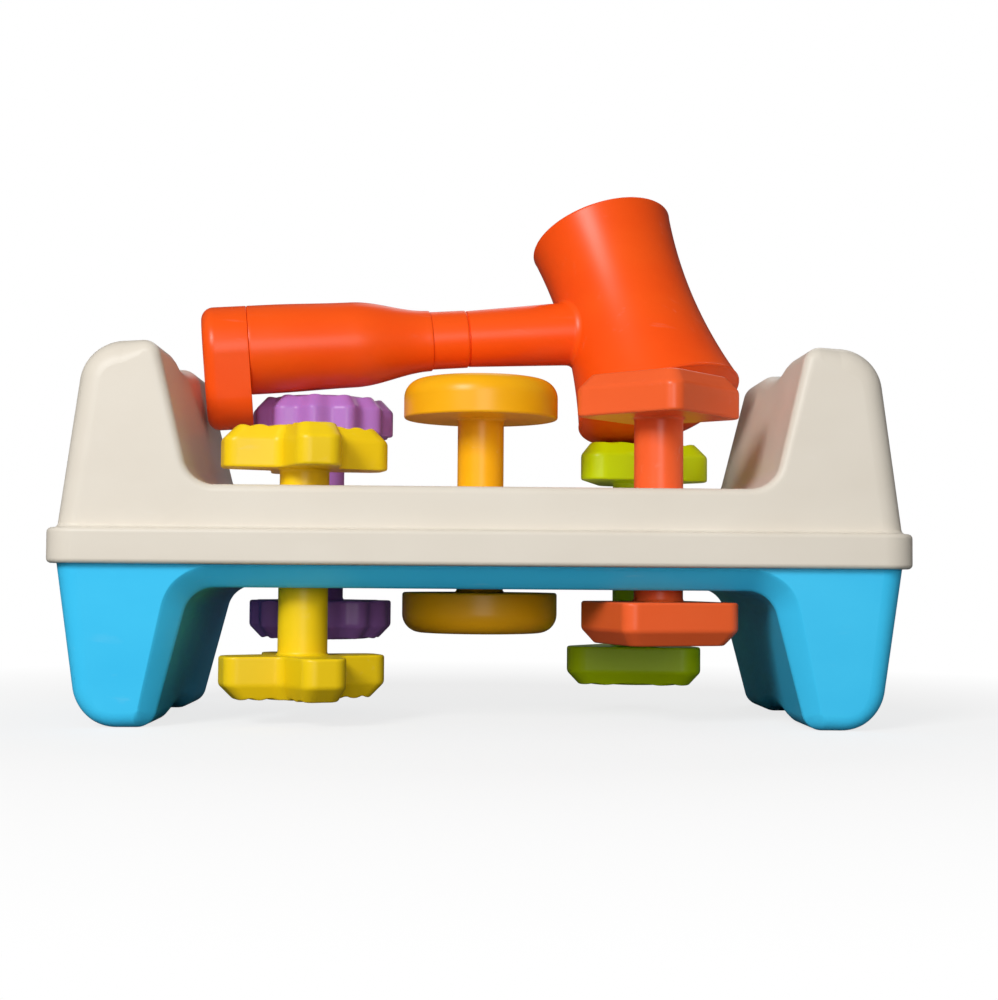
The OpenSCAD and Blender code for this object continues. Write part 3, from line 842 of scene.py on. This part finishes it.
def end_line(rim, height, plug_r, plug_depth=6):
    """Profile of an end face: a plug inside the barrel, a small step, and a shallow dome that
    is an arc of radius (rim^2 + height^2) / (2 height)."""
    inner = rim - barrel_rim_r
    bow = (inner ** 2 + height ** 2) / (2 * height)
    turn = math.asin(inner / bow) * np.linspace(1, 0, 25)
    dome = np.column_stack([bow * np.sin(turn), bow * np.cos(turn) - bow + height])
    plug = [[0, -plug_depth], [plug_r, -plug_depth], [plug_r, -0.1], [inner, -0.1]]
    return np.concatenate([plug, dome])


crown_grid = lathe(end_line(crown_rim_r, crown_dome, crown_plug_r), head_steps)
strike_grid = lathe(end_line(strike_rim_r, strike_dome, strike_plug_r), head_steps) * [1, 1, -1]
hammer_piece("hammer_crown_face", crown_grid + [0, 0, crown_reach], head_turning)
hammer_piece("hammer_strike_face", strike_grid - [0, 0, strike_reach], head_turning)


def head_surface(y, z):
    """Distance from the handle's origin, along the handle, at which a line parallel to it at y, z
    leaves the leaning head: the line is turned into the head's frame and, in damped steps, moved
    to the surface, where |x| = sqrt(radius ** 2 - y ** 2)."""
    s = np.full_like(y, waist_r)
    for _ in range(30):
        x_head = -s * rake_cos + z * rake_sin
        z_head = z * rake_cos + s * rake_sin
        radius = barrel_radius(np.clip(z_head, -strike_reach, crown_reach))
        s = s + 0.8 * (np.sqrt(np.maximum(radius ** 2 - y ** 2, 1)) - np.abs(x_head))
    return s


def neck_radius(s):
    """The neck tapers evenly from its root at the head to the groove by the collar."""
    return neck_root_r + (neck_r - neck_root_r) * s / neck_end


angle = np.linspace(0, 2 * np.pi, handle_steps, endpoint=False)[:, None]
turn = np.radians(np.linspace(90, 0, 9))[None, :]
flare_r = neck_radius(waist_r) + neck_fillet * (1 - np.cos(turn)) + 0 * angle
flare_s = head_surface(flare_r * np.sin(angle), flare_r * np.cos(angle))
flare_s = flare_s + neck_fillet * (1 - np.sin(turn)) - neck_sink
start_s = flare_s[:, :1]
inward = np.concatenate([0.0 * angle + 0.01, 0.5 * flare_r[:, :1]], axis=1)
root_s = np.concatenate([start_s.mean() + 0 * angle, start_s], axis=1)
share = np.linspace(0.05, 1, 16)[None, :]
shank_s = flare_s[:, -1:] + (neck_end - groove_width - 0.4 - flare_s[:, -1:]) * share
groove_floor_r = neck_r - groove_depth
tail = np.array([[neck_r, neck_end - groove_width],
                 [groove_floor_r, neck_end - groove_width * 0.7],
                 [groove_floor_r, neck_end - groove_width * 0.3],
                 [collar_r - 0.15, neck_end - 0.1], [collar_r, neck_end + 0.15],
                 [collar_r, neck_end + 0.6], [collar_r, collar_end - 0.6],
                 [collar_r, collar_end - 0.15], [collar_r - 0.2, collar_end],
                 [core_r, collar_end], [core_r, grip_end - core_short],
                 [0, grip_end - core_short]])
radius = np.concatenate([inward, flare_r, neck_radius(shank_s), tail[:, 0] + 0 * angle], axis=1)
reach = np.concatenate([root_s - 1, flare_s, shank_s, tail[:, 1] + 0 * angle], axis=1)
neck_grid = np.stack([-reach, radius * np.sin(angle), radius * np.cos(angle)], axis=-1)
hammer_piece("hammer_neck", neck_grid, hammer_turning)


def grip_radius(s):
    """The grip swells over its belly and eases to its seat, each along half a cosine wave."""
    belly_end = collar_end + belly_length
    swell = np.clip((s - collar_end) / belly_length, 0, 1)
    easing = np.clip((s - belly_end) / (grip_seat - belly_end), 0, 1)
    rise = (grip_r - grip_collar_r) * (1 - np.cos(np.pi * swell)) / 2
    return grip_collar_r + rise + (grip_seat_r - grip_r) * (1 - np.cos(np.pi * easing)) / 2


s = np.linspace(collar_end + 0.5, grip_end - 0.5, 70)
bore = core_r + core_gap
grip_line = np.concatenate([
    [[bore, grip_end], [bore, collar_end], [grip_collar_r - 0.5, collar_end],
     [grip_collar_r - 0.12, collar_end + 0.15]],
    np.column_stack([grip_radius(s), s]),
    [[grip_seat_r - 0.12, grip_end - 0.15], [grip_seat_r - 0.5, grip_end], [bore, grip_end]]])
hammer_piece("hammer_grip", along_handle(grip_line), hammer_turning, capped=False)


def butt_line(inset):
    """The butt's outline moved inwards: the grip's circle above a smaller one, joined by the two
    lines that touch both, whose slope is asin((r1 - r2) / drop)."""
    steps = handle_steps // 2
    r1, r2 = grip_seat_r - inset, heel_r - inset
    slope = math.asin((r1 - r2) / heel_drop)
    upper_turn = np.linspace(-slope, math.pi + slope, steps)
    lower_turn = np.linspace(math.pi + slope, 2 * math.pi - slope, steps)
    upper_arc = r1 * np.column_stack([np.cos(upper_turn), np.sin(upper_turn)])
    lower_arc = r2 * np.column_stack([np.cos(lower_turn), np.sin(lower_turn)]) - [0, heel_drop]
    return np.concatenate([upper_arc, lower_arc])


# Rows of the butt's rings, from the grip outwards: how far in, and how far along the handle.
innermost = 13.5
rows = [[innermost, 0.01], [0.5, 0.01], [0.12, 0.16], [0, 0.5], [0, 4], [0, 9]]
rows += [[cap_round * (1 - c), cap_length - cap_round + cap_round * s]
         for c, s in quarter(0, 90, 12)]
rows += [[cap_round + 4, cap_length], [cap_round + 8, cap_length]]
rings = [np.column_stack([butt_line(inset), np.full(handle_steps, along)])
         for inset, along in rows]
butt_grid = np.stack(rings, axis=1)
butt_grid = np.stack([-butt_grid[..., 2], -butt_grid[..., 0], butt_grid[..., 1]], axis=-1)
butt_grid = butt_grid @ rotation("X", hammer_roll).T - [grip_end, 0, 0]
hammer_piece("hammer_butt_cap", butt_grid, hammer_turning)


# Floor and light: a plain pale floor under a white surround. A broad lamp stands in front, to the
# left and above, a weaker one stands low in front and a third behind; the surround fills the
# shadows softly.

floor_near, floor_far = 0.18, 0.4
floor_lift = 0.78
floor_bounce = 0.12
surround_level = 0.2
mirror_level = 0.06
floor_r, floor_thickness = 6000, 1
floor_seen = 0.9
pure_white = (1.0, 1.0, 1.0, 1.0)

floor = loft("floor", column(floor_r, -floor_thickness, 0, 96))
paint = Paint(bpy.data.materials.new("pale_floor"))
seen = paint.node("ShaderNodeLightPath", {}, out="Is Camera Ray")
mirrored = Wire(paint, seen.socket.node.outputs["Is Glossy Ray"])
distance = paint.node(
    "ShaderNodeVectorMath", {"operation": "LENGTH"}, paint.object_place(), out="Value")
far = paint.range(distance, floor_near, floor_far)
floor_tone = (
    floor_bounce + seen * (floor_seen - floor_bounce) - mirrored * (floor_bounce - mirror_level))
paint.shade(Base_Color=floor_tone, Roughness=0.8)
white = paint.node("ShaderNodeEmission", {}, pure_white, 1.0)
lit = Wire(paint, paint.shader.outputs["BSDF"])
lifted = seen * (floor_lift + (1 - floor_lift) * far)
shown = paint.node("ShaderNodeMixShader", {}, lifted, lit, white)
paint.set(paint.tree.nodes["Material Output"].inputs["Surface"], shown)
floor.data.materials.append(paint.owner)
floor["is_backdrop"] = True

surround = Paint(bpy.data.worlds.new("surround"), "Background")
bpy.context.scene.world = surround.owner
seen = surround.node("ShaderNodeLightPath", {}, out="Is Camera Ray")
through = Wire(surround, seen.socket.node.outputs["Is Transmission Ray"])
mirrored = Wire(surround, seen.socket.node.outputs["Is Glossy Ray"])
direct = surround.node("ShaderNodeMath", {"operation": "MAXIMUM"}, seen, through)
dull = surround.range(mirrored, 0.0, 1.0, surround_level, mirror_level)
surround.shade(Color=pure_white, Strength=surround.range(direct, 0.0, 1.0, dull, 1.0))


def lamp(name, place, aim, size, power):
    """A square soft lamp at a place, pointing at another. Places in metres, power in watts."""
    data = bpy.data.lights.new(name, "AREA")
    data.size = size
    data.energy = power
    made = bpy.data.objects.new(name, data)
    bpy.context.scene.collection.objects.link(made)
    direction = np.array(aim, float) - np.array(place, float)
    made.location = place
    made.rotation_mode = "QUATERNION"
    made.rotation_quaternion = Vector(direction).to_track_quat("-Z", "Y")


bench_middle = (0, 0, 0.08)
lamp("key_lamp", (-0.65, -1.2, 0.8), bench_middle, size=0.5, power=15.8)
lamp("front_lamp", (0.12, -1.5, 0.3), bench_middle, size=0.6, power=5.7)
lamp("back_lamp", (0.3, 1.2, 1.1), bench_middle, size=0.8, power=3)


# Camera: low in front of the bench and a little left of its middle, looking slightly up, with the
# small tilt of a picture taken by hand.

eye = np.array([-10.1, -623.0, 53.5]) * MM
yaw, pitch, tilt = math.radians(1.6), math.radians(2.75), math.radians(0.43)
photo_width, focal_pixels = 998, 1600
ahead = np.array(
    [math.sin(yaw) * math.cos(pitch), math.cos(yaw) * math.cos(pitch), math.sin(pitch)])
right = np.array([math.cos(yaw), -math.sin(yaw), 0])
above = np.cross(right, ahead)
tilted_right = right * math.cos(tilt) + above * math.sin(tilt)
tilted_above = above * math.cos(tilt) - right * math.sin(tilt)
camera_data = bpy.data.cameras.new("camera")
camera_data.sensor_fit = "HORIZONTAL"
camera_data.lens = camera_data.sensor_width * focal_pixels / photo_width
camera_data.clip_start = 0.01
camera = bpy.data.objects.new("camera", camera_data)
bpy.context.scene.collection.objects.link(camera)
pose = np.eye(4)
pose[:3, 0], pose[:3, 1], pose[:3, 2], pose[:3, 3] = tilted_right, tilted_above, -ahead, eye
camera.matrix_world = Matrix(pose.tolist())
bpy.context.scene.camera = camera
bpy.context.scene.view_settings.view_transform = "Standard"

low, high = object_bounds()
